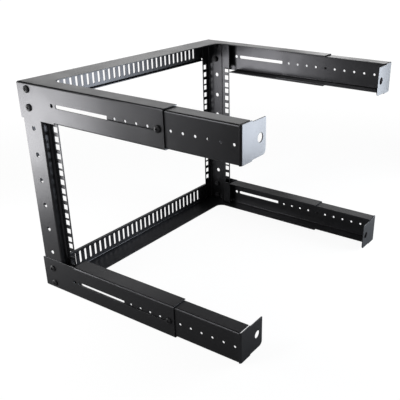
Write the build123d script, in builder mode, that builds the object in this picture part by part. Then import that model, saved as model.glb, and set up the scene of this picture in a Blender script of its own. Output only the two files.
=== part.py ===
from build123d import *
import os

# Open wall mount rack, six rack units high, with four arms that slide out to the wall.
# X runs across the rack, Y from the equipment side to the wall, and Z up.
# The origin is on the floor under the middle of the rack.

# Rack standard
rack_units = 6
unit_pitch = 44.45
rail_hole_spacing = 465.1
square_hole = 9.5
square_edge = 7.5
first_square = 6.35
square_step = 15.875

# Sheet and folds
sheet = 1.6
fold_radius = 3.2
slide_gap = 0.3
end_gap = 1.6

# Overall sizes of the fixed frame
rail_to_side = 17.45
frame_margin = 50.65
channel_height = 58.0
channel_flange = 30.0
channel_length = 297.0
cross_drop = 41.0
cross_flange = 47.0
cross_corner = 15.0
cross_lip = 7.5
lip_end_gap = 3.0
bend_relief = 4.0

# Vent slots in the cross members
vent_count = 31
vent_pitch = 13.0
vent_length = 24.0
vent_width = 5.0
vent_chamfer = 1.45

# Posts
post_web = 44.5
post_rear_flange = 13.0
post_lip = 20.0
lip_hole_edge = 7.0
web_hole = 8.0
web_hole_forward = 0.5

# Corner screws and nuts
corner_screw_back = 22.0
corner_screw_edge = 10.5
corner_screw_spacing = 29.0
corner_shank = 6.0
corner_clearance = 0.4
corner_head = 12.0
corner_head_height = 3.2
nut_flats = 10.0
nut_height = 5.0
nut_clearance = 0.1
thread_end = 1.0
head_rim = 1.8
head_bevel = 1.6

# Guide hole and slot in the side of each channel
channel_lap = 10.0
guide_hole_back = 75.5
guide_hole = 6.0
slot_front_back = 83.5
slot_travel = 200.1
slot_height = 6.0

# Sliding arms
arm_length = 231.5
arm_flange = 26.0
arm_hole = 4.2
arm_hole_count = 11
arm_hole_front = 14.7
arm_hole_rear = 10.8
lock_hole_index = 4
wall_tab = 58.5
wall_tab_corner = 7.0
wall_tab_tip = 1.5
wall_hole = 13.0
wall_hole_inset = 46.8
tab_step = 1.6

# Lock screws
lock_shank = 4.1
lock_head = 11.0
lock_head_height = 3.0
lock_head_gap = 0.3
lock_tip = 2.5

# Places worked out from the sizes above
half_width = rail_hole_spacing / 2 + rail_to_side
height = rack_units * unit_pitch + 2 * frame_margin
mid_height = height / 2
arm_hole_pitch = (arm_length - arm_hole_front - arm_hole_rear) / (arm_hole_count - 1)
lock_back = slot_front_back + slot_height / 2 + slot_travel
arm_front_back = lock_back - arm_hole_front - lock_hole_index * arm_hole_pitch
depth = arm_front_back + arm_length
front = -depth / 2
post_bay = sheet + post_web + post_lip + channel_lap
post_outer = half_width - sheet
post_front = front + sheet
post_rear = post_front + post_web
lip_outer = post_outer - post_rear_flange
rail_x = rail_hole_spacing / 2
web_hole_y = post_front + post_web / 2 + web_hole_forward
arm_outer = post_outer - slide_gap
wall_hole_x = half_width - wall_hole_inset
web_end = height - cross_drop + bend_relief
lip_half = rail_x - square_edge - lip_end_gap
arm_half_height = channel_height / 2 - sheet - slide_gap
arm_front = front + arm_front_back
arm_rear = front + depth
lock_y = front + lock_back
slot_front = front + slot_front_back
slot_rear = lock_y + slot_height / 2
top_arm_z = height - channel_height / 2
bottom_arm_z = channel_height / 2
corner_screw_y = front + corner_screw_back
top_screw_heights = [height - corner_screw_edge, height - corner_screw_edge - corner_screw_spacing]
bottom_screw_heights = [corner_screw_edge, corner_screw_edge + corner_screw_spacing]

# Heights of the square holes and of the round web holes, one set for each rack unit
rail_bottom = mid_height - rack_units * unit_pitch / 2
unit_bottoms = [rail_bottom + n * unit_pitch for n in range(rack_units)]
square_heights = [z + first_square + n * square_step for z in unit_bottoms for n in range(3)]
round_heights = [z + unit_pitch / 2 for z in unit_bottoms]

os.makedirs("parts", exist_ok=True)


def folded_sheet(points, side):
    """Outline of a bent sheet whose outer skin runs through the points."""
    with BuildLine() as outline:
        FilletPolyline(*points, radius=fold_radius)
        offset(amount=sheet, side=side)
    return outline.edges()


def channel_section(outer, flange, middle, half):
    """Outline of a C section open to the middle of the rack, on the side that the sign gives."""
    sign = 1 if outer > 0 else -1
    free_edge = outer - sign * flange
    points = [
        (free_edge, middle + half),
        (outer, middle + half),
        (outer, middle - half),
        (free_edge, middle - half),
    ]
    return folded_sheet(points, Side.RIGHT if sign > 0 else Side.LEFT)


# Top frame: a cross member and two side channels folded from one sheet
with BuildPart() as top_frame:
    # Hood over the two posts, open below and behind
    with BuildSketch(Plane.XY.offset(height)):
        with Locations((0, front + post_bay / 2)):
            Rectangle(2 * half_width, post_bay)
    extrude(amount=-channel_height)
    hood_top = top_frame.faces().sort_by(Axis.Z)[-1]
    fillet(hood_top.edges().sort_by(Axis.Y)[:-1], radius=fold_radius)
    hood_bottom = top_frame.faces().sort_by(Axis.Z)[0]
    hood_rear = top_frame.faces().sort_by(Axis.Y)[-1]
    offset(amount=-sheet, openings=[hood_bottom, hood_rear])
    # Opening between the two arms, with rounded corners at the cross member
    with BuildSketch(Plane.XY.offset(height)) as arm_opening:
        with Locations((0, front + cross_flange + post_bay / 2)):
            Rectangle(2 * (half_width - channel_flange), post_bay)
        fillet(arm_opening.vertices().group_by(Axis.Y)[0], radius=cross_corner)
    extrude(amount=-2 * sheet, mode=Mode.SUBTRACT)
    # The cross member's web is shorter than the side plates
    with BuildSketch(Plane.XZ.offset(-front)):
        with Locations((0, (height - channel_height + web_end) / 2)):
            Rectangle(2 * post_outer, web_end - (height - channel_height))
    extrude(amount=-sheet, mode=Mode.SUBTRACT)
    # Return lip along the web's edge, between the front flanges of the posts
    with BuildSketch(Plane.YZ):
        lip_line = [(front, web_end), (front, height - cross_drop), (front + cross_lip, height - cross_drop)]
        make_face(folded_sheet(lip_line, Side.LEFT))
    extrude(amount=lip_half, both=True)
    # Row of vent slots
    with BuildSketch(Plane.XZ.offset(-front)) as vents:
        with Locations((0, height - sheet - (cross_drop - sheet) / 2)):
            with GridLocations(vent_pitch, 0, vent_count, 1):
                Rectangle(vent_width, vent_length)
        chamfer(vents.vertices(), length=vent_chamfer)
    extrude(amount=-sheet, mode=Mode.SUBTRACT)
    # Side channels behind the posts
    for outer in (half_width, -half_width):
        with BuildSketch(Plane.XZ.offset(-(front + post_bay))):
            make_face(channel_section(outer, channel_flange, top_arm_z, channel_height / 2))
        extrude(amount=-(channel_length - post_bay))
    # Screw holes, guide holes and slots through both sides
    with BuildSketch(Plane.YZ):
        with Locations([(corner_screw_y, z) for z in top_screw_heights]):
            Circle(corner_shank / 2 + corner_clearance / 2)
        with Locations((front + guide_hole_back, top_arm_z)):
            Circle(guide_hole / 2)
        with Locations(((slot_front + slot_rear) / 2, top_arm_z)):
            SlotOverall(slot_rear - slot_front, slot_height)
    extrude(amount=half_width, both=True, mode=Mode.SUBTRACT)
top_frame.part.label = "top_frame"
export_step(top_frame.part, "parts/top_frame.step")

# Bottom frame: the same folded sheet, turned over
with BuildPart() as bottom_frame:
    mirror(top_frame.part, about=Plane.XY.offset(mid_height))
bottom_frame.part.label = "bottom_frame"
export_step(bottom_frame.part, "parts/bottom_frame.step")

# Right post: front flange, web, rear flange and a lip that points to the wall
with BuildPart() as right_post:
    with BuildSketch(Plane.XY.offset(sheet + end_gap)):
        post_line = [
            (rail_x - square_edge, post_front),
            (post_outer, post_front),
            (post_outer, post_rear),
            (lip_outer, post_rear),
            (lip_outer, post_rear + post_lip),
        ]
        make_face(folded_sheet(post_line, Side.LEFT))
    extrude(amount=height - 2 * sheet - 2 * end_gap)
    # Square holes of the front flange
    with BuildSketch(Plane.XZ.offset(-post_front)):
        with Locations([(rail_x, z) for z in square_heights]):
            Rectangle(square_hole, square_hole)
    extrude(amount=-sheet, mode=Mode.SUBTRACT)
    # Square holes of the lip
    with BuildSketch(Plane.YZ.offset(lip_outer)):
        with Locations([(post_rear + post_lip - lip_hole_edge, z) for z in square_heights]):
            Rectangle(square_hole, square_hole)
    extrude(amount=-sheet, mode=Mode.SUBTRACT)
    # Round holes and screw holes of the web
    with BuildSketch(Plane.YZ.offset(post_outer)):
        with Locations([(web_hole_y, z) for z in round_heights]):
            Circle(web_hole / 2)
        with Locations([(corner_screw_y, z) for z in top_screw_heights + bottom_screw_heights]):
            Circle(corner_shank / 2 + corner_clearance / 2)
    extrude(amount=-sheet, mode=Mode.SUBTRACT)
right_post.part.label = "right_post"
export_step(right_post.part, "parts/right_post.step")

with BuildPart() as left_post:
    mirror(right_post.part, about=Plane.YZ)
left_post.part.label = "left_post"
export_step(left_post.part, "parts/left_post.step")


def sliding_arm(name, sign, middle):
    """Channel that slides in the frame and ends in a tab bolted to the wall."""
    outer = sign * arm_outer
    tab_edge = outer - sign * wall_tab
    flange_end = arm_rear - fold_radius - slide_gap
    with BuildPart() as arm:
        with BuildSketch(Plane.XZ.offset(-arm_front)):
            make_face(channel_section(outer, arm_flange, middle, arm_half_height))
        extrude(amount=-(flange_end - arm_front))
        # The web alone runs on and folds inward to make the tab
        with BuildSketch(Plane.XY.offset(middle - arm_half_height)):
            tab_line = [(outer, flange_end), (outer, arm_rear), (tab_edge, arm_rear)]
            make_face(folded_sheet(tab_line, Side.LEFT if sign > 0 else Side.RIGHT))
        extrude(amount=2 * arm_half_height)
        # The tab is lower than the channel from the end of the flanges on
        with BuildSketch(Plane.XZ.offset(-arm_rear)):
            for z in (middle + arm_half_height, middle - arm_half_height):
                with Locations((outer - sign * (arm_flange + wall_tab) / 2, z)):
                    Rectangle(wall_tab - arm_flange, 2 * tab_step)
        extrude(amount=sheet, both=True, mode=Mode.SUBTRACT)
        tip = arm.edges().filter_by(Axis.Y).group_by(Axis.X)[0 if sign > 0 else -1]
        fillet(tip.sort_by(Axis.Z)[0], radius=wall_tab_corner)
        tip = arm.edges().filter_by(Axis.Y).group_by(Axis.X)[0 if sign > 0 else -1]
        fillet(tip.sort_by(Axis.Z)[-1], radius=wall_tab_tip)
        # Hole for the wall bolt
        with BuildSketch(Plane.XZ.offset(-arm_rear)):
            with Locations((sign * wall_hole_x, middle)):
                Circle(wall_hole / 2)
        extrude(amount=sheet, mode=Mode.SUBTRACT)
        # Row of tapped holes for the lock screw
        with BuildSketch(Plane.YZ.offset(outer)):
            hole_row = [arm_front + arm_hole_front + n * arm_hole_pitch for n in range(arm_hole_count)]
            with Locations([(y, middle) for y in hole_row]):
                Circle(arm_hole / 2)
        extrude(amount=-sign * sheet, mode=Mode.SUBTRACT)
    arm.part.label = name
    export_step(arm.part, f"parts/{name}.step")
    return arm.part


def pan_screw(name, plane, head, head_height, shank, length):
    """Pan-headed screw on the plane's y axis, with its head seated at the plane's origin."""
    crown = head / 2 - head_bevel
    with BuildPart() as screw:
        with BuildSketch(plane):
            with BuildLine():
                Polyline((0, head_height), (0, -length), (shank / 2, -length), (shank / 2, 0),
                         (head / 2, 0), (head / 2, head_rim), (crown, head_height), close=True)
            make_face()
        revolve(axis=Axis(plane.origin, plane.y_dir))
    screw.part.label = name
    export_step(screw.part, f"parts/{name}.step")
    return screw.part


def hex_nut(name, plane, flats, thickness, bore):
    """Plain hexagon nut seated on the plane."""
    with BuildPart() as nut:
        with BuildSketch(plane):
            RegularPolygon(flats / 2, 6, major_radius=False)
            Circle(bore / 2, mode=Mode.SUBTRACT)
        extrude(amount=thickness)
    nut.part.label = name
    export_step(nut.part, f"parts/{name}.step")
    return nut.part


# Sliding arms, each with the screw that locks it at the rear end of the slot
for side, sign in (("right", 1), ("left", -1)):
    for level, middle in (("top", top_arm_z), ("bottom", bottom_arm_z)):
        sliding_arm(f"{level}_{side}_arm", sign, middle)
        seat = sign * (half_width + lock_head_gap)
        lock_plane = Plane((seat, lock_y, middle), x_dir=(0, 1, 0), z_dir=(0, 0, -sign))
        lock_length = lock_head_gap + sheet + slide_gap + sheet + lock_tip
        pan_screw(f"{level}_{side}_lock_screw", lock_plane, lock_head, lock_head_height,
                  lock_shank, lock_length)

# Screws and nuts that hold each post between the two frames
corner_length = 2 * sheet + nut_height + thread_end
for side, sign in (("right", 1), ("left", -1)):
    for level, heights in (("top", top_screw_heights), ("bottom", bottom_screw_heights)):
        for place, z in zip(("outer", "inner"), heights):
            seat = Plane((sign * half_width, corner_screw_y, z), x_dir=(0, 1, 0), z_dir=(0, 0, -sign))
            pan_screw(f"{level}_{side}_{place}_screw", seat, corner_head, corner_head_height,
                      corner_shank, corner_length)
            inner_face = Plane((sign * (post_outer - sheet), corner_screw_y, z), z_dir=(-sign, 0, 0))
            hex_nut(f"{level}_{side}_{place}_nut", inner_face, nut_flats, nut_height,
                    corner_shank + nut_clearance)
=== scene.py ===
import math

import bmesh
import bpy
from bpy.props import FloatProperty, FloatVectorProperty, IntProperty, PointerProperty
from mathutils import Matrix, Vector
from mathutils.bvhtree import BVHTree


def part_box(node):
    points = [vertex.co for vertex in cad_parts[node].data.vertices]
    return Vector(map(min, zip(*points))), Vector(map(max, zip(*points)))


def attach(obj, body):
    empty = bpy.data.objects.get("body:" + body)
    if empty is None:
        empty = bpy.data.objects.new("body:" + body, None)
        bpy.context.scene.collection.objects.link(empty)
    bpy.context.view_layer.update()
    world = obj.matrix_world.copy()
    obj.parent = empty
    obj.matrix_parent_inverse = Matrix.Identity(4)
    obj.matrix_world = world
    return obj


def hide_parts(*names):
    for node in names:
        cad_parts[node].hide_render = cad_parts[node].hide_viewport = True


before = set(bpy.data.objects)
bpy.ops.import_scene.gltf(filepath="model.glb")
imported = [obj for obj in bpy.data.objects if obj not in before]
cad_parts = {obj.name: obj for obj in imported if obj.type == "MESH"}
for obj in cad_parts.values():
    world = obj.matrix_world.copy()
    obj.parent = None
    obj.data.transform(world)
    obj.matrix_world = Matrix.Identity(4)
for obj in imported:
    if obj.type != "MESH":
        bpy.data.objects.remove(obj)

bl_info = {
    "name": "Open Wall Mount Rack",
    "version": (1, 0, 0),
    "blender": (4, 5, 0),
    "location": "View3D > Sidebar > Wall Rack",
    "description": "Dresses a folded sheet wall rack with powder coat, screws, nuts and a studio",
    "category": "Object",
}

SHEETS = (
    "top_frame", "bottom_frame", "left_post", "right_post",
    "top_right_arm", "bottom_right_arm", "top_left_arm", "bottom_left_arm",
)
CORNERS = ("top_right", "bottom_right", "top_left", "bottom_left")
PLACES = ("outer", "inner")
FRAME_BODY = "frame"
WHITE = (1.0, 1.0, 1.0, 1.0)
PLAIN = (1.0, 1.0, 1.0)
COOL = (0.85, 0.92, 1.0)

# Name, place, target, width and height, radiance and colour of each lamp
SOFTBOXES = (
    # Bright gloss on the faces that look towards the wall
    ("tab_softbox", (-0.455, 0.632, 0.22), (0.215, 0.202, 0.20), (0.60, 0.40), 10.4, COOL),
    # Gloss at the front end of the near side plate and post, and a weaker one near the floor
    ("side_softbox", (0.44, -0.495, 0.205), (0.25, -0.20, 0.205), (0.30, 0.21), 9.0, PLAIN),
    ("low_softbox", (0.44, -0.495, 0.055), (0.25, -0.20, 0.055), (0.30, 0.08), 4.8, PLAIN),
    # Faint gloss that fades along the near arm
    ("fill_softbox", (0.75, -0.53, 0.20), (0.25, 0.04, 0.30), (0.50, 0.30), 0.82, PLAIN),
    # Soft light from behind for the upper faces
    ("far_softbox", (-1.34, -0.33, 0.58), (-0.235, 0.12, 0.366), (0.40, 0.30), 1.0, PLAIN),
    ("back_softbox", (-1.3, -1.3, 1.3), (0.0, 0.0, 0.1), (1.0, 0.8), 0.8, PLAIN),
    # Light from above into the far channels
    ("channel_softbox", (0.95, -0.45, 0.85), (-0.23, 0.10, 0.31), (0.40, 0.35), 10.0, PLAIN),
)


# Settings

class PowderCoatSettings(bpy.types.PropertyGroup):
    """Black powder coat on every folded sheet"""
    colour: FloatVectorProperty(
        name="Colour", description="Base colour of the coat", subtype="COLOR", size=3,
        min=0.0, max=1.0, default=(0.0068, 0.0069, 0.0074))
    edge_round: FloatProperty(
        name="Edge Rounding", description="Radius that the coat leaves on cut edges",
        unit="LENGTH", min=0.00005, max=0.0006, default=0.0003)
    edge_wear: FloatProperty(
        name="Edge Wear", description="How far the coat is rubbed along cut edges", min=0.0,
        max=1.0, default=0.5)
    worn_colour: FloatVectorProperty(
        name="Worn Colour", description="Rubbed coat on the edges", subtype="COLOR", size=3,
        min=0.0, max=1.0, default=(0.07, 0.07, 0.072))
    dust_colour: FloatVectorProperty(
        name="Dust Colour", description="Fine dust that lies on upper faces", subtype="COLOR",
        size=3, min=0.0, max=1.0, default=(0.20, 0.20, 0.20))
    roughness: FloatProperty(
        name="Roughness", description="Sheen of the clean coat", min=0.0, max=1.0, default=0.30)
    dust: FloatProperty(
        name="Dust", description="How much dust lies on upper faces", min=0.0, max=1.0,
        default=0.02)
    peel_size: FloatProperty(
        name="Orange Peel Size", description="Distance between the soft waves of the coat",
        unit="LENGTH", min=0.0002, default=0.0024)
    peel_depth: FloatProperty(
        name="Orange Peel Depth", description="Height of the soft waves", unit="LENGTH",
        min=0.0, default=0.000012)
    grain_size: FloatProperty(
        name="Grain Size", description="Distance between the fine grains", unit="LENGTH",
        min=0.0001, default=0.00045)
    grain_depth: FloatProperty(
        name="Grain Depth", description="Height of the fine grains", unit="LENGTH", min=0.0,
        default=0.0000022)


class FastenerSettings(bpy.types.PropertyGroup):
    """Screws and nuts of the rack"""
    colour: FloatVectorProperty(
        name="Colour", description="Black oxide on screws and nuts", subtype="COLOR", size=3,
        min=0.0, max=1.0, default=(0.012, 0.012, 0.013))
    recess_span: FloatProperty(
        name="Recess Span", description="Width of the cross recess over the head's width",
        min=0.2, max=0.8, default=0.56)
    recess_depth: FloatProperty(
        name="Recess Depth", description="Depth of the cross recess", unit="LENGTH",
        min=0.0002, default=0.0018)
    thread_pitch: FloatProperty(
        name="Thread Pitch", description="Distance between thread crests", unit="LENGTH",
        min=0.0003, default=0.0010)
    thread_depth: FloatProperty(
        name="Thread Depth", description="Height of the thread", unit="LENGTH", min=0.0,
        default=0.00035)
    turn_seed: IntProperty(
        name="Turn Seed", description="Seed for the angle at which each screw stopped",
        default=7)


class StageSettings(bpy.types.PropertyGroup):
    """Camera, floor and lamps"""
    camera_place: FloatVectorProperty(
        name="Camera Place", description="Where the camera stands", subtype="TRANSLATION",
        unit="LENGTH", size=3, default=(0.8574, 0.6193, 0.5814))
    camera_yaw: FloatProperty(
        name="Camera Yaw", description="Heading of the view from the X axis", subtype="ANGLE",
        default=math.radians(-147.067))
    camera_pitch: FloatProperty(
        name="Camera Pitch", description="Tilt of the view from level", subtype="ANGLE",
        default=math.radians(-25.759))
    camera_roll: FloatProperty(
        name="Camera Roll", description="Turn about the line of sight", subtype="ANGLE",
        default=math.radians(0.484))
    lens: FloatProperty(
        name="Lens", description="Focal length on a 36 mm sensor", min=10.0, default=55.44)
    shift: FloatVectorProperty(
        name="Shift", description="Sensor shift for the framing", size=2,
        default=(-0.125, 0.0685))
    floor_colour: FloatVectorProperty(
        name="Floor Colour", description="Pale studio floor", subtype="COLOR", size=3,
        min=0.0, max=1.0, default=(0.86, 0.86, 0.86))
    lamp_level: FloatProperty(
        name="Lamp Level", description="Scales every lamp", min=0.0, default=1.0)


# Helpers for meshes

def mesh_object(name, build):
    """Object at the origin whose mesh the given function builds."""
    work = bmesh.new()
    build(work)
    mesh = bpy.data.meshes.new(name)
    work.to_mesh(mesh)
    work.free()
    piece = bpy.data.objects.new(name, mesh)
    bpy.context.scene.collection.objects.link(piece)
    return piece


def baked(piece, name):
    """Plain mesh of a piece with its modifiers, in place of the piece itself."""
    bpy.context.view_layer.update()
    graph = bpy.context.evaluated_depsgraph_get()
    mesh = bpy.data.meshes.new_from_object(piece.evaluated_get(graph))
    result = bpy.data.objects.new(name, mesh)
    bpy.context.scene.collection.objects.link(result)
    remove(piece)
    result.name = mesh.name = name
    return result


def remove(piece):
    """Removes a helper object and its mesh."""
    mesh = piece.data
    bpy.data.objects.remove(piece)
    if mesh is not None and mesh.users == 0:
        bpy.data.meshes.remove(mesh)


def lathe(work, profile, steps):
    """Closed body of revolution about Z from (radius, height) points, from axis to axis."""
    rings = []
    for radius, height in profile:
        if radius == 0.0:
            rings.append([work.verts.new((0.0, 0.0, height))])
            continue
        ring = []
        for n in range(steps):
            angle = 2 * math.pi * n / steps
            point = (radius * math.cos(angle), radius * math.sin(angle), height)
            ring.append(work.verts.new(point))
        rings.append(ring)
    for low, high in zip(rings, rings[1:]):
        for n in range(steps):
            after = (n + 1) % steps
            corners = [low[n % len(low)], low[after % len(low)],
                       high[after % len(high)], high[n % len(high)]]
            face = [v for place, v in enumerate(corners) if v not in corners[:place]]
            work.faces.new(face)
    bmesh.ops.recalc_face_normals(work, faces=work.faces)


def prism(work, low, high):
    """Body between two loops of points that have the same count."""
    bottom = [work.verts.new(point) for point in low]
    top = [work.verts.new(point) for point in high]
    work.faces.new(bottom)
    work.faces.new(top)
    for n in range(len(bottom)):
        after = (n + 1) % len(bottom)
        work.faces.new((bottom[n], bottom[after], top[after], top[n]))
    bmesh.ops.recalc_face_normals(work, faces=work.faces)


def cut(piece, tool, operation, name):
    """Piece after one boolean with a tool, which is used up."""
    modifier = piece.modifiers.new("Cut", "BOOLEAN")
    modifier.operation = operation
    modifier.solver = "EXACT"
    modifier.object = tool
    result = baked(piece, name)
    remove(tool)
    return result


def smooth_by_angle(mesh, degrees):
    """Smooth clean faces, with edges sharp where the faces turn by more than the angle."""
    shortest = 0.000002
    work = bmesh.new()
    work.from_mesh(mesh)
    bmesh.ops.dissolve_degenerate(work, dist=shortest, edges=work.edges)
    limit = math.radians(degrees)
    for face in work.faces:
        face.smooth = True
    for edge in work.edges:
        edge.smooth = len(edge.link_faces) == 2 and edge.calc_face_angle() < limit
    work.to_mesh(mesh)
    work.free()


def bevelled(source, reach, spared):
    """Welded copy of a sheet with its cut edges rounded, the new faces and the stray corners."""
    weld = 0.000001
    flat = math.radians(0.2)
    cut_edge = math.radians(50)
    clearance = 2.7 * reach
    work = bmesh.new()
    work.from_mesh(source.data)
    bmesh.ops.remove_doubles(work, verts=work.verts, dist=weld)
    bmesh.ops.dissolve_limit(work, angle_limit=flat, verts=work.verts, edges=work.edges)
    surface = BVHTree.FromBMesh(work)
    sharp = [edge for edge in work.edges
             if len(edge.link_faces) == 2 and edge.calc_face_angle() > cut_edge
             and all((corner.co - point).length > clearance
                     for corner in edge.verts for point in spared)]
    rounded = bmesh.ops.bevel(work, geom=sharp, offset=reach, offset_type="OFFSET", segments=2,
                              profile=0.5, affect="EDGES", clamp_overlap=False, loop_slide=False)
    furthest = 0.5 * reach
    highest = 0.35 * reach
    stray = set()
    for corner in work.verts:
        nearest, normal, index, distance = surface.find_nearest(corner.co)
        if distance > furthest or (corner.co - nearest).dot(normal) > highest:
            stray.add(corner)
    return work, set(rounded["faces"]), stray


def rounded_sheet(source, name, reach):
    """Sheet with rounded cut edges that are marked for wear, and sharp where a fold is near."""
    spared = []
    work, fresh, stray = bevelled(source, reach, spared)
    further_passes = 3
    for attempt in range(further_passes):
        if not stray:
            break
        spared += [edge.other_vert(corner).co.copy() for corner in stray
                   for edge in corner.link_edges if edge.other_vert(corner) not in stray]
        work.free()
        work, fresh, stray = bevelled(source, reach, spared)
    wear = work.verts.layers.float.new("edge_wear")
    for corner in work.verts:
        corner[wear] = 1.0 if all(face in fresh for face in corner.link_faces) else 0.0
    for face in work.faces:
        face.smooth = True
    mesh = bpy.data.meshes.new(name)
    work.to_mesh(mesh)
    work.free()
    piece = bpy.data.objects.new(name, mesh)
    bpy.context.scene.collection.objects.link(piece)
    flats = piece.modifiers.new("Flat Faces", "WEIGHTED_NORMAL")
    flats.weight = 100
    return baked(piece, name)


# Helpers for node trees

def node(tree, kind, **settings):
    """New node with its settings and with values for named inputs."""
    values = settings.pop("inputs", {})
    made = tree.nodes.new(kind)
    for key, value in settings.items():
        setattr(made, key, value)
    for key, value in values.items():
        made.inputs[key].default_value = value
    return made


def shader_group(name, inputs, outputs):
    """Shader node group with float inputs and outputs of the given kinds."""
    group = bpy.data.node_groups.new(name, "ShaderNodeTree")
    for label, value in inputs:
        socket = group.interface.new_socket(label, in_out="INPUT", socket_type="NodeSocketFloat")
        socket.default_value = value
    for label in outputs:
        group.interface.new_socket(label, in_out="OUTPUT", socket_type="NodeSocketFloat")
    return group, group.nodes.new("NodeGroupInput"), group.nodes.new("NodeGroupOutput")


def placed(tree, group, **values):
    """Places a shader group in a material with its own values."""
    made = tree.nodes.new("ShaderNodeGroup")
    made.node_tree = group
    for key, value in values.items():
        made.inputs[key.replace("_", " ").title()].default_value = value
    return made


def inverse(tree, source):
    """One over a value, as the scale of a pattern of that size."""
    made = node(tree, "ShaderNodeMath", operation="DIVIDE")
    made.inputs[0].default_value = 1.0
    tree.links.new(source, made.inputs[1])
    return made.outputs[0]


def arithmetic(tree, operation, first, second):
    """Math node on two sockets or numbers."""
    made = node(tree, "ShaderNodeMath", operation=operation)
    for place, value in enumerate((first, second)):
        if isinstance(value, (int, float)):
            made.inputs[place].default_value = value
        else:
            tree.links.new(value, made.inputs[place])
    return made.outputs[0]


def coat_surface_group():
    """Height of two layers of relief: soft waves and fine grains."""
    group, inlet, outlet = shader_group(
        "Coat Surface",
        (("Wave Size", 0.002), ("Wave Depth", 0.00001), ("Grain Size", 0.0004),
         ("Grain Depth", 0.000002)),
        ("Height",))
    place = node(group, "ShaderNodeTexCoord").outputs["Object"]
    layers = []
    for size, depth, detail in (("Wave Size", "Wave Depth", 1.0),
                                ("Grain Size", "Grain Depth", 2.0)):
        noise = node(group, "ShaderNodeTexNoise", inputs={"Detail": detail, "Roughness": 0.5})
        group.links.new(place, noise.inputs["Vector"])
        group.links.new(inverse(group, inlet.outputs[size]), noise.inputs["Scale"])
        layers.append(arithmetic(group, "MULTIPLY", noise.outputs["Fac"], inlet.outputs[depth]))
    group.links.new(arithmetic(group, "ADD", *layers), outlet.inputs["Height"])
    return group


def handling_group():
    """Mask of large soft patches, as handling and wiping leave them."""
    group, inlet, outlet = shader_group("Handling Patches", (("Patch Size", 0.06),), ("Mask",))
    place = node(group, "ShaderNodeTexCoord").outputs["Object"]
    noise = node(group, "ShaderNodeTexNoise", inputs={"Detail": 3.0, "Roughness": 0.55})
    group.links.new(place, noise.inputs["Vector"])
    group.links.new(inverse(group, inlet.outputs["Patch Size"]), noise.inputs["Scale"])
    spread = node(group, "ShaderNodeMapRange", interpolation_type="SMOOTHSTEP",
                  inputs={"From Min": 0.38, "From Max": 0.66})
    group.links.new(noise.outputs["Fac"], spread.inputs["Value"])
    group.links.new(spread.outputs["Result"], outlet.inputs["Mask"])
    return group


def edge_wear_group():
    """Mask of broken rubbing along the edges that the mesh marks."""
    group, inlet, outlet = shader_group("Edge Wear", (("Amount", 0.5),), ("Mask",))
    edge = node(group, "ShaderNodeAttribute", attribute_name="edge_wear")
    place = node(group, "ShaderNodeTexCoord").outputs["Object"]
    noise = node(group, "ShaderNodeTexNoise",
                 inputs={"Scale": 140.0, "Detail": 4.0, "Roughness": 0.6})
    group.links.new(place, noise.inputs["Vector"])
    broken = node(group, "ShaderNodeMapRange", interpolation_type="SMOOTHSTEP",
                  inputs={"From Min": 0.48, "From Max": 0.62})
    group.links.new(noise.outputs["Fac"], broken.inputs["Value"])
    rubbed = arithmetic(group, "MULTIPLY", edge.outputs["Fac"], broken.outputs["Result"])
    amount = arithmetic(group, "MULTIPLY", rubbed, inlet.outputs["Amount"])
    group.links.new(amount, outlet.inputs["Mask"])
    return group


def dust_group():
    """Mask of fine dust on faces that look up."""
    group, inlet, outlet = shader_group("Settled Dust", (("Amount", 0.05),), ("Mask",))
    facing = node(group, "ShaderNodeSeparateXYZ")
    group.links.new(node(group, "ShaderNodeNewGeometry").outputs["Normal"], facing.inputs[0])
    upward = node(group, "ShaderNodeMapRange", interpolation_type="SMOOTHSTEP",
                  inputs={"From Min": 0.55, "From Max": 0.95})
    group.links.new(facing.outputs["Z"], upward.inputs["Value"])
    place = node(group, "ShaderNodeTexCoord").outputs["Object"]
    specks = node(group, "ShaderNodeTexNoise",
                  inputs={"Scale": 900.0, "Detail": 4.0, "Roughness": 0.7})
    group.links.new(place, specks.inputs["Vector"])
    lifted = arithmetic(group, "MULTIPLY", upward.outputs["Result"], specks.outputs["Fac"])
    amount = arithmetic(group, "MULTIPLY", lifted, inlet.outputs["Amount"])
    group.links.new(amount, outlet.inputs["Mask"])
    return group


def material_with_bsdf(name):
    """Empty node material with a Principled BSDF and its output."""
    material = bpy.data.materials.new(name)
    material.use_nodes = True
    tree = material.node_tree
    tree.nodes.clear()
    bsdf = node(tree, "ShaderNodeBsdfPrincipled")
    output = node(tree, "ShaderNodeOutputMaterial")
    tree.links.new(bsdf.outputs["BSDF"], output.inputs["Surface"])
    return material, tree, bsdf


def group_named(name, build):
    """Shader group that is built once and then shared."""
    return bpy.data.node_groups.get(name) or build()


def relief(tree, bsdf, **sizes):
    """Gives a finish its soft waves and fine grains."""
    surface = placed(tree, group_named("Coat Surface", coat_surface_group), **sizes)
    bump = node(tree, "ShaderNodeBump", inputs={"Strength": 1.0, "Distance": 1.0})
    tree.links.new(surface.outputs["Height"], bump.inputs["Height"])
    tree.links.new(bump.outputs["Normal"], bsdf.inputs["Normal"])


def patchy_sheen(tree, patch_size, low, high):
    """Mask of handling patches, and the roughness that it spreads between two values."""
    patches = placed(tree, group_named("Handling Patches", handling_group), patch_size=patch_size)
    sheen = node(tree, "ShaderNodeMapRange", inputs={"To Min": low, "To Max": high})
    tree.links.new(patches.outputs["Mask"], sheen.inputs["Value"])
    return patches.outputs["Mask"], sheen.outputs["Result"]


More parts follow.
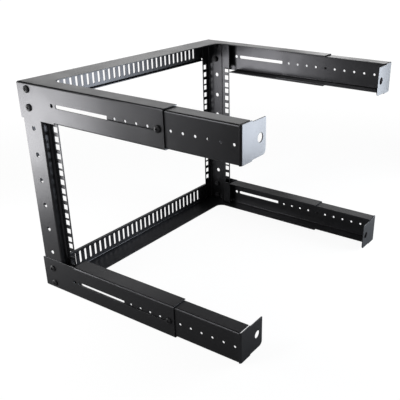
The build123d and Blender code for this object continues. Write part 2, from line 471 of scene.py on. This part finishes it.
def powder_coat(settings):
    """Semi-gloss black powder coat."""
    material, tree, bsdf = material_with_bsdf("Black Powder Coat")
    relief(tree, bsdf, wave_size=settings.peel_size, wave_depth=settings.peel_depth,
           grain_size=settings.grain_size, grain_depth=settings.grain_depth)
    sheen = patchy_sheen(tree, 0.07, settings.roughness - 0.025, settings.roughness + 0.035)[1]
    wear = placed(tree, group_named("Edge Wear", edge_wear_group), amount=settings.edge_wear)
    rubbed = node(tree, "ShaderNodeMath", operation="MULTIPLY_ADD")
    rougher_when_worn = 0.22
    rubbed.inputs[1].default_value = rougher_when_worn
    tree.links.new(wear.outputs["Mask"], rubbed.inputs[0])
    tree.links.new(sheen, rubbed.inputs[2])
    tree.links.new(rubbed.outputs[0], bsdf.inputs["Roughness"])
    dust = placed(tree, group_named("Settled Dust", dust_group), amount=settings.dust)
    blend = node(tree, "ShaderNodeMix", data_type="RGBA")
    blend.inputs["A"].default_value = (*settings.colour, 1.0)
    blend.inputs["B"].default_value = (*settings.dust_colour, 1.0)
    tree.links.new(dust.outputs["Mask"], blend.inputs["Factor"])
    worn = node(tree, "ShaderNodeMix", data_type="RGBA")
    tree.links.new(blend.outputs["Result"], worn.inputs["A"])
    worn.inputs["B"].default_value = (*settings.worn_colour, 1.0)
    tree.links.new(wear.outputs["Mask"], worn.inputs["Factor"])
    tree.links.new(worn.outputs["Result"], bsdf.inputs["Base Color"])
    bsdf.inputs["IOR"].default_value = 1.5
    bsdf.inputs["Specular Tint"].default_value = (0.94, 0.935, 1.0, 1.0)
    return material


def black_oxide(name, settings, roughness):
    """Dull black finish of the screws and nuts."""
    material, tree, bsdf = material_with_bsdf(name)
    relief(tree, bsdf, wave_size=0.0009, wave_depth=0.000004, grain_size=0.0002,
           grain_depth=0.000002)
    handled, sheen = patchy_sheen(tree, 0.003, roughness - 0.06, roughness + 0.08)
    tree.links.new(sheen, bsdf.inputs["Roughness"])
    lighter = 1.9
    shade = node(tree, "ShaderNodeMix", data_type="RGBA")
    shade.inputs["A"].default_value = (*settings.colour, 1.0)
    shade.inputs["B"].default_value = (*[lighter * value for value in settings.colour], 1.0)
    tree.links.new(handled, shade.inputs["Factor"])
    tree.links.new(shade.outputs["Result"], bsdf.inputs["Base Color"])
    bsdf.inputs["Specular IOR Level"].default_value = 0.15
    return material


# Fasteners

def thread_profile(radius, start, end, pitch, depth):
    """Points of a ridged shank from one height down to another."""
    points = []
    height = start
    while height - pitch > end:
        points.append((radius, height))
        points.append((radius - depth, height - pitch / 2))
        height -= pitch
    points.append((radius, height))
    points.append((radius - depth, end))
    return points


def screw_template(name, head, head_height, shank, length, settings):
    """Pan head screw with a cross recess, its seat at height 0 and its head above."""
    radius = head / 2
    rim = 0.34 * head_height
    dome = []
    rounds = 9
    for n in range(rounds):
        angle = 0.5 * math.pi * n / rounds
        dome.append((radius * math.sin(angle), rim + (head_height - rim) * math.cos(angle)))
    lip = 0.03 * head
    neck = 0.0002
    profile = dome + [(radius, rim), (radius, lip), (radius - lip, 0.0), (shank / 2, 0.0)]
    profile += thread_profile(shank / 2, -neck, -length, settings.thread_pitch,
                              settings.thread_depth)
    profile.append((0.0, -length))
    body = mesh_object(name, lambda work: lathe(work, profile, 40))
    span = settings.recess_span * radius
    wide = 0.17 * radius
    overshoot = 0.0004
    top = head_height + overshoot
    bottom = head_height - settings.recess_depth

    def cross(reach, half, height):
        corners = [(reach, half), (half, half), (half, reach), (-half, reach), (-half, half),
                   (-reach, half), (-reach, -half), (-half, -half), (-half, -reach),
                   (half, -reach), (half, -half), (reach, -half)]
        return [(x, y, height) for x, y in corners]

    low, high = cross(0.55 * span, 0.6 * wide, bottom), cross(span, wide, top)
    tool = mesh_object("recess_tool", lambda work: prism(work, low, high))
    body = cut(body, tool, "DIFFERENCE", name)
    smooth_by_angle(body.data, 35)
    return body


def nut_template(name, flats, thickness, bore):
    """Hexagon nut with turned corners and a chamfered bore, its seat at height 0."""
    corner = flats / math.sqrt(3)
    drop = 0.09 * flats
    face = 0.96 * flats / 2
    clear = corner + 0.0003
    chamfer = 0.0005
    overshoot = 0.001

    def hexagon(height):
        points = []
        for n in range(6):
            angle = math.pi * (n / 3 + 1 / 6)
            points.append((corner * math.cos(angle), corner * math.sin(angle), height))
        return points

    body = mesh_object(name, lambda work: prism(work, hexagon(0.0), hexagon(thickness)))
    turned = [(0.0, 0.0), (face, 0.0), (clear, drop), (clear, thickness - drop),
              (face, thickness), (0.0, thickness)]
    tool = mesh_object("turning_tool", lambda work: lathe(work, turned, 48))
    body = cut(body, tool, "INTERSECT", name)
    mouth = bore / 2 + chamfer
    hole = [(0.0, -overshoot), (mouth, -overshoot), (mouth, 0.0), (bore / 2, chamfer),
            (bore / 2, thickness - chamfer), (mouth, thickness), (mouth, thickness + overshoot),
            (0.0, thickness + overshoot)]
    tool = mesh_object("bore_tool", lambda work: lathe(work, hole, 32))
    body = cut(body, tool, "DIFFERENCE", name)
    smooth_by_angle(body.data, 20)
    return body


def repeat_tree():
    """Geometry nodes that set one fastener on every point, turned to face outwards."""
    tree = bpy.data.node_groups.get("Repeat Fastener")
    if tree:
        return tree
    tree = bpy.data.node_groups.new("Repeat Fastener", "GeometryNodeTree")
    side = tree.interface.new_socket
    side("Places", in_out="INPUT", socket_type="NodeSocketGeometry")
    side("Fastener", in_out="INPUT", socket_type="NodeSocketObject")
    side("Size", in_out="INPUT", socket_type="NodeSocketFloat").default_value = 1.0
    side("Most Turn", in_out="INPUT", socket_type="NodeSocketFloat").default_value = 0.0
    side("Turn Seed", in_out="INPUT", socket_type="NodeSocketInt").default_value = 7
    side("Finish", in_out="INPUT", socket_type="NodeSocketMaterial")
    side("Fasteners", in_out="OUTPUT", socket_type="NodeSocketGeometry")
    inlet = tree.nodes.new("NodeGroupInput")
    outlet = tree.nodes.new("NodeGroupOutput")
    source = node(tree, "GeometryNodeObjectInfo")
    facing = node(tree, "GeometryNodeInputNamedAttribute", data_type="FLOAT_VECTOR")
    facing.inputs["Name"].default_value = "outwards"
    aligned = node(tree, "FunctionNodeAlignRotationToVector", axis="Z")
    chance = node(tree, "FunctionNodeRandomValue", data_type="FLOAT")
    spin = node(tree, "FunctionNodeAxisAngleToRotation", inputs={"Axis": (0.0, 0.0, 1.0)})
    turned = node(tree, "FunctionNodeRotateRotation", rotation_space="LOCAL")
    copies = node(tree, "GeometryNodeInstanceOnPoints")
    real = node(tree, "GeometryNodeRealizeInstances")
    finish = node(tree, "GeometryNodeSetMaterial")
    link = tree.links.new
    link(inlet.outputs["Fastener"], source.inputs["Object"])
    link(facing.outputs["Attribute"], aligned.inputs["Vector"])
    lowest = node(tree, "ShaderNodeMath", operation="MULTIPLY")
    lowest.inputs[1].default_value = -1.0
    link(inlet.outputs["Most Turn"], lowest.inputs[0])
    floats = [socket for socket in chance.inputs if socket.type == "VALUE"]
    link(lowest.outputs[0], floats[0])
    link(inlet.outputs["Most Turn"], floats[1])
    link(inlet.outputs["Turn Seed"], chance.inputs["Seed"])
    angle = next(socket for socket in chance.outputs if socket.type == "VALUE")
    link(angle, spin.inputs["Angle"])
    link(aligned.outputs["Rotation"], turned.inputs["Rotation"])
    link(spin.outputs["Rotation"], turned.inputs["Rotate By"])
    link(inlet.outputs["Places"], copies.inputs["Points"])
    link(source.outputs["Geometry"], copies.inputs["Instance"])
    link(turned.outputs["Rotation"], copies.inputs["Rotation"])
    link(inlet.outputs["Size"], copies.inputs["Scale"])
    link(copies.outputs["Instances"], real.inputs["Geometry"])
    link(real.outputs["Geometry"], finish.inputs["Geometry"])
    link(inlet.outputs["Finish"], finish.inputs["Material"])
    link(finish.outputs["Geometry"], outlet.inputs["Fasteners"])
    return tree


def repeated(name, template, places, finish, most_turn, seed):
    """One mesh with the template set at each (point, outward direction)."""
    mesh = bpy.data.meshes.new(name + "_places")
    mesh.from_pydata([point for point, outward in places], [], [])
    outwards = mesh.attributes.new("outwards", "FLOAT_VECTOR", "POINT")
    for item, (point, outward) in zip(outwards.data, places):
        item.vector = outward
    piece = bpy.data.objects.new(name + "_places", mesh)
    bpy.context.scene.collection.objects.link(piece)
    modifier = piece.modifiers.new("Repeat", "NODES")
    tree = repeat_tree()
    modifier.node_group = tree
    sockets = {item.name: item.identifier for item in tree.interface.items_tree
               if item.in_out == "INPUT"}
    modifier[sockets["Fastener"]] = template
    modifier[sockets["Size"]] = 1.0
    modifier[sockets["Most Turn"]] = most_turn
    modifier[sockets["Turn Seed"]] = seed
    modifier[sockets["Finish"]] = finish
    return baked(piece, name)


def seat_of(name, head_height):
    """Seat point and outward direction of a screw node, whose head is outside the side plate."""
    low, high = (Vector(corner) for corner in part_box(name))
    middle = (low + high) / 2
    side = 1.0 if middle.x > 0 else -1.0
    outer = high.x if side > 0 else low.x
    return Vector((outer - side * head_height, middle.y, middle.z)), Vector((side, 0.0, 0.0))


def extent(name):
    """Size of a node's box."""
    low, high = (Vector(corner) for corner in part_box(name))
    return high - low


# Operators

class RACK_OT_powder_coat(bpy.types.Operator):
    """Rounds the cut edges of every folded sheet and gives it its black powder coat"""
    bl_idname = "rack.powder_coat"
    bl_label = "Powder Coat"

    def execute(self, context):
        settings = context.scene.rack_coat
        finish = powder_coat(settings)
        for name in SHEETS:
            piece = rounded_sheet(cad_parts[name], f"{name}_sheet", settings.edge_round)
            piece.data.materials.clear()
            piece.data.materials.append(finish)
            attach(piece, name[:-4] if name.endswith("_arm") else FRAME_BODY)
            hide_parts(name)
        return {"FINISHED"}


class RACK_OT_corner_screws(bpy.types.Operator):
    """Sets two pan head screws at each corner of the frame"""
    bl_idname = "rack.corner_screws"
    bl_label = "Corner Screws"

    head_height: FloatProperty(name="Head Height", unit="LENGTH", default=0.0032)
    shank: FloatProperty(name="Shank Diameter", unit="LENGTH", default=0.0060)

    def execute(self, context):
        settings = context.scene.rack_fasteners
        names = [f"{corner}_{place}_screw" for corner in CORNERS for place in PLACES]
        size = extent(names[0])
        template = screw_template("screw_template", size.y, self.head_height, self.shank,
                                  size.x - self.head_height, settings)
        finish = black_oxide("Black Oxide Screw", settings, 0.36)
        places = [seat_of(name, self.head_height) for name in names]
        piece = repeated("corner_screws", template, places, finish, math.pi, settings.turn_seed)
        remove(template)
        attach(piece, FRAME_BODY)
        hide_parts(*names)
        return {"FINISHED"}


class RACK_OT_corner_nuts(bpy.types.Operator):
    """Sets a hexagon nut on each corner screw, inside the post"""
    bl_idname = "rack.corner_nuts"
    bl_label = "Corner Nuts"

    bore: FloatProperty(name="Bore", unit="LENGTH", default=0.0061)

    def execute(self, context):
        settings = context.scene.rack_fasteners
        names = [f"{corner}_{place}_nut" for corner in CORNERS for place in PLACES]
        size = extent(names[0])
        template = nut_template("nut_template", size.y, size.x, self.bore)
        finish = black_oxide("Black Oxide Nut", settings, 0.42)
        places = []
        for name in names:
            low, high = (Vector(corner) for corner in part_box(name))
            middle = (low + high) / 2
            side = 1.0 if middle.x > 0 else -1.0
            inner = low.x if side > 0 else high.x
            places.append((Vector((inner, middle.y, middle.z)), Vector((side, 0.0, 0.0))))
        piece = repeated("corner_nuts", template, places, finish, 0.0, settings.turn_seed)
        remove(template)
        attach(piece, FRAME_BODY)
        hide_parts(*names)
        return {"FINISHED"}


class RACK_OT_lock_screws(bpy.types.Operator):
    """Sets the screw that locks each sliding arm"""
    bl_idname = "rack.lock_screws"
    bl_label = "Lock Screws"

    head_height: FloatProperty(name="Head Height", unit="LENGTH", default=0.0030)
    shank: FloatProperty(name="Shank Diameter", unit="LENGTH", default=0.0041)

    def execute(self, context):
        settings = context.scene.rack_fasteners
        finish = bpy.data.materials.get("Black Oxide Screw") or black_oxide(
            "Black Oxide Screw", settings, 0.36)
        for number, corner in enumerate(CORNERS):
            name = f"{corner}_lock_screw"
            size = extent(name)
            template = screw_template("screw_template", size.y, self.head_height, self.shank,
                                      size.x - self.head_height, settings)
            places = [seat_of(name, self.head_height)]
            piece = repeated(f"{corner}_locking_screw", template, places, finish, math.pi,
                             settings.turn_seed + number + 1)
            remove(template)
            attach(piece, corner)
            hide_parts(name)
        return {"FINISHED"}


class RACK_OT_stage(bpy.types.Operator):
    """Builds the floor, the lamps and the camera"""
    bl_idname = "rack.stage"
    bl_label = "Stage"

    def execute(self, context):
        settings = context.scene.rack_stage
        add_floor(settings)
        add_world()
        add_lamps(settings)
        add_camera(context.scene, settings)
        context.scene.view_settings.view_transform = "Standard"
        return {"FINISHED"}


# Stage

def seen_directly(tree, path):
    """One for rays from the camera, also past clear pieces, and zero for the others."""
    return arithmetic(tree, "MAXIMUM", path.outputs["Is Camera Ray"],
                      path.outputs["Is Transmission Ray"])


def add_floor(settings):
    """Wide pale floor that shows white and keeps a soft shadow."""
    half = 6.0
    shown_as_white = 0.88
    dimmed_in_gloss = 0.60

    def plane(work):
        corners = ((-half, -half, 0.0), (half, -half, 0.0), (half, half, 0.0), (-half, half, 0.0))
        work.faces.new([work.verts.new(corner) for corner in corners])

    floor = mesh_object("studio_floor", plane)
    material = bpy.data.materials.new("Studio Floor")
    material.use_nodes = True
    tree = material.node_tree
    tree.nodes.clear()
    paint = node(tree, "ShaderNodeBsdfDiffuse", inputs={"Color": (*settings.floor_colour, 1.0)})
    glow = node(tree, "ShaderNodeEmission", inputs={"Color": WHITE})
    mix = node(tree, "ShaderNodeMixShader")
    output = node(tree, "ShaderNodeOutputMaterial")
    path = node(tree, "ShaderNodeLightPath")
    seen = seen_directly(tree, path)
    reflected = arithmetic(tree, "MULTIPLY", path.outputs["Is Glossy Ray"], dimmed_in_gloss)
    share = arithmetic(tree, "MAXIMUM", arithmetic(tree, "MULTIPLY", seen, shown_as_white),
                       reflected)
    reach = node(tree, "ShaderNodeVectorMath", operation="LENGTH")
    tree.links.new(node(tree, "ShaderNodeTexCoord").outputs["Object"], reach.inputs[0])
    paler = node(tree, "ShaderNodeMapRange", interpolation_type="SMOOTHSTEP",
                 inputs={"From Min": 0.6, "From Max": 2.0, "To Min": 1.05, "To Max": 1.15})
    tree.links.new(reach.outputs["Value"], paler.inputs["Value"])
    strength = arithmetic(tree, "MULTIPLY", seen, paler.outputs["Result"])
    tree.links.new(strength, glow.inputs["Strength"])
    tree.links.new(share, mix.inputs["Fac"])
    tree.links.new(paint.outputs["BSDF"], mix.inputs[1])
    tree.links.new(glow.outputs["Emission"], mix.inputs[2])
    tree.links.new(mix.outputs["Shader"], output.inputs["Surface"])
    floor.data.materials.append(material)


def add_world():
    """White studio wall under a dark ceiling in reflections, and a dim even light of its own."""
    ambient = 0.28
    world = bpy.data.worlds.new("Studio")
    bpy.context.scene.world = world
    world.use_nodes = True
    tree = world.node_tree
    tree.nodes.clear()
    path = node(tree, "ShaderNodeLightPath")
    height = node(tree, "ShaderNodeSeparateXYZ")
    tree.links.new(node(tree, "ShaderNodeTexCoord").outputs["Generated"], height.inputs[0])
    wall = node(tree, "ShaderNodeMapRange", interpolation_type="SMOOTHSTEP",
                inputs={"From Min": 0.17, "From Max": 0.28, "To Min": 1.6, "To Max": 0.01})
    tree.links.new(height.outputs["Z"], wall.inputs["Value"])
    reflected = arithmetic(tree, "MULTIPLY", path.outputs["Is Glossy Ray"], wall.outputs["Result"])
    light = arithmetic(tree, "MULTIPLY", path.outputs["Is Diffuse Ray"], ambient)
    shown = arithmetic(tree, "MAXIMUM", seen_directly(tree, path), reflected)
    strength = arithmetic(tree, "MAXIMUM", shown, light)
    white = node(tree, "ShaderNodeBackground", inputs={"Color": WHITE})
    output = node(tree, "ShaderNodeOutputWorld")
    tree.links.new(strength, white.inputs["Strength"])
    tree.links.new(white.outputs["Background"], output.inputs["Surface"])


def softbox(name, place, target, size, radiance, colour):
    """Area lamp that faces a target, unseen by the camera but seen in reflections."""
    width, height = size
    data = bpy.data.lights.new(name, "AREA")
    data.shape = "RECTANGLE"
    data.size = width
    data.size_y = height
    data.color = colour
    data.energy = radiance * width * height * math.pi
    lamp = bpy.data.objects.new(name, data)
    bpy.context.scene.collection.objects.link(lamp)
    place = Vector(place)
    lamp.matrix_world = Matrix.Translation(place) @ (
        (Vector(target) - place).to_track_quat("-Z", "Y").to_matrix().to_4x4())
    lamp.visible_camera = False


def add_lamps(settings):
    """Softboxes that give the sheets their gloss and light their upper faces."""
    for name, place, target, size, radiance, colour in SOFTBOXES:
        softbox(name, place, target, size, radiance * settings.lamp_level, colour)


def add_camera(scene, settings):
    """Camera at the photograph's place and angle."""
    yaw, pitch, roll = settings.camera_yaw, settings.camera_pitch, settings.camera_roll
    ahead = Vector((math.cos(pitch) * math.cos(yaw), math.cos(pitch) * math.sin(yaw),
                    math.sin(pitch)))
    level = ahead.cross(Vector((0.0, 0.0, 1.0))).normalized()
    upright = level.cross(ahead)
    across = level * math.cos(roll) + upright * math.sin(roll)
    up = upright * math.cos(roll) - level * math.sin(roll)
    turn = Matrix((across, up, -ahead)).transposed()
    data = bpy.data.cameras.new("photo_camera")
    data.sensor_width = 36.0
    data.lens = settings.lens
    data.shift_x, data.shift_y = settings.shift
    data.clip_start = 0.01
    data.clip_end = 50.0
    camera = bpy.data.objects.new("photo_camera", data)
    scene.collection.objects.link(camera)
    camera.matrix_world = Matrix.Translation(settings.camera_place) @ turn.to_4x4()
    scene.camera = camera


# Panel

STEPS = (RACK_OT_powder_coat, RACK_OT_corner_screws, RACK_OT_corner_nuts, RACK_OT_lock_screws,
         RACK_OT_stage)


class RACK_PT_panel(bpy.types.Panel):
    """Lists the rack's settings and the steps that build it"""
    bl_idname = "RACK_PT_panel"
    bl_label = "Wall Rack"
    bl_space_type = "VIEW_3D"
    bl_region_type = "UI"
    bl_category = "Wall Rack"

    def draw(self, context):
        scene = context.scene
        for group in (scene.rack_coat, scene.rack_fasteners, scene.rack_stage):
            box = self.layout.box()
            for name in group.__annotations__:
                box.prop(group, name)
        for step in STEPS:
            self.layout.operator(step.bl_idname)


SETTINGS = (
    ("rack_coat", PowderCoatSettings),
    ("rack_fasteners", FastenerSettings),
    ("rack_stage", StageSettings),
)


def register():
    for name, group in SETTINGS:
        bpy.utils.register_class(group)
        setattr(bpy.types.Scene, name, PointerProperty(type=group))
    for step in STEPS:
        bpy.utils.register_class(step)
    bpy.utils.register_class(RACK_PT_panel)


def unregister():
    bpy.utils.unregister_class(RACK_PT_panel)
    for step in reversed(STEPS):
        bpy.utils.unregister_class(step)
    for name, group in reversed(SETTINGS):
        delattr(bpy.types.Scene, name)
        bpy.utils.unregister_class(group)


def main():
    register()
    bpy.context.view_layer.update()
    bpy.ops.rack.powder_coat()
    bpy.ops.rack.corner_screws()
    bpy.ops.rack.corner_nuts()
    bpy.ops.rack.lock_screws()
    bpy.ops.rack.stage()
    bpy.context.view_layer.update()


if __name__ == "__main__":
    main()
